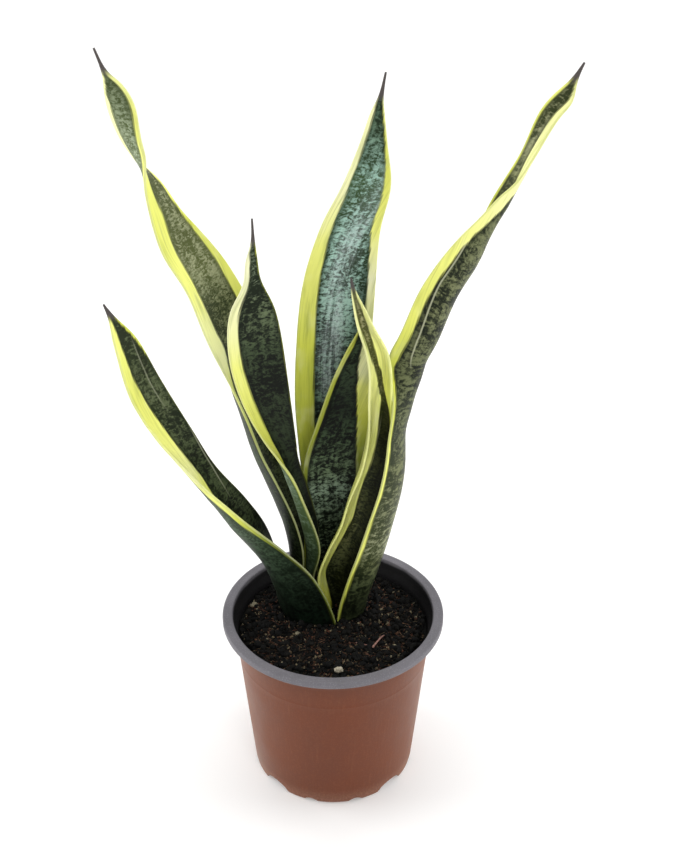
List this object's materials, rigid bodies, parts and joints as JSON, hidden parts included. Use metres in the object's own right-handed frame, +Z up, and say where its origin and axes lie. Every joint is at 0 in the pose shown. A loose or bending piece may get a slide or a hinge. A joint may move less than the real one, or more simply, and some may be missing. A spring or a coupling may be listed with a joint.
{
  "type": "potted snake plant",
  "caption": "Young potted snake plant: upright, pointed, yellow-edged mottled leaves on a short rhizome, in peat soil in a round tapered plastic nursery pot.",
  "frame": {"origin": "on the pot's axis, on the face that the pot stands on", "axes": "+Z up along the pot's axis; -Y towards the front, where the leaves' bases are hidden least; +X to the right, towards the tall twisted right leaf"},
  "size_m": [0.2232, 0.12, 0.391],
  "materials": {
    "pot_plastic": "satin",
    "soil": "matte",
    "pale_grit": "matte",
    "twig": "matte",
    "rhizome": "matte",
    "leaf": "satin"
  },
  "bodies": {
    "root": {"nursery_pot": "pot_plastic", "potting_soil": "soil", "pale_grain_front": "pale_grit", "pale_chip_left": "pale_grit", "pale_chip_middle": "pale_grit", "twig_right_long": "twig", "twig_right_short": "twig", "stem_stub_with_roots": "rhizome", "leaf_left_tall": "leaf", "leaf_left_middle": "leaf", "leaf_centre_tall": "leaf", "leaf_centre_short": "leaf", "leaf_right_tall": "leaf", "leaf_left_low": "leaf", "leaf_front_folded": "leaf"}
  },
  "joints": []
}
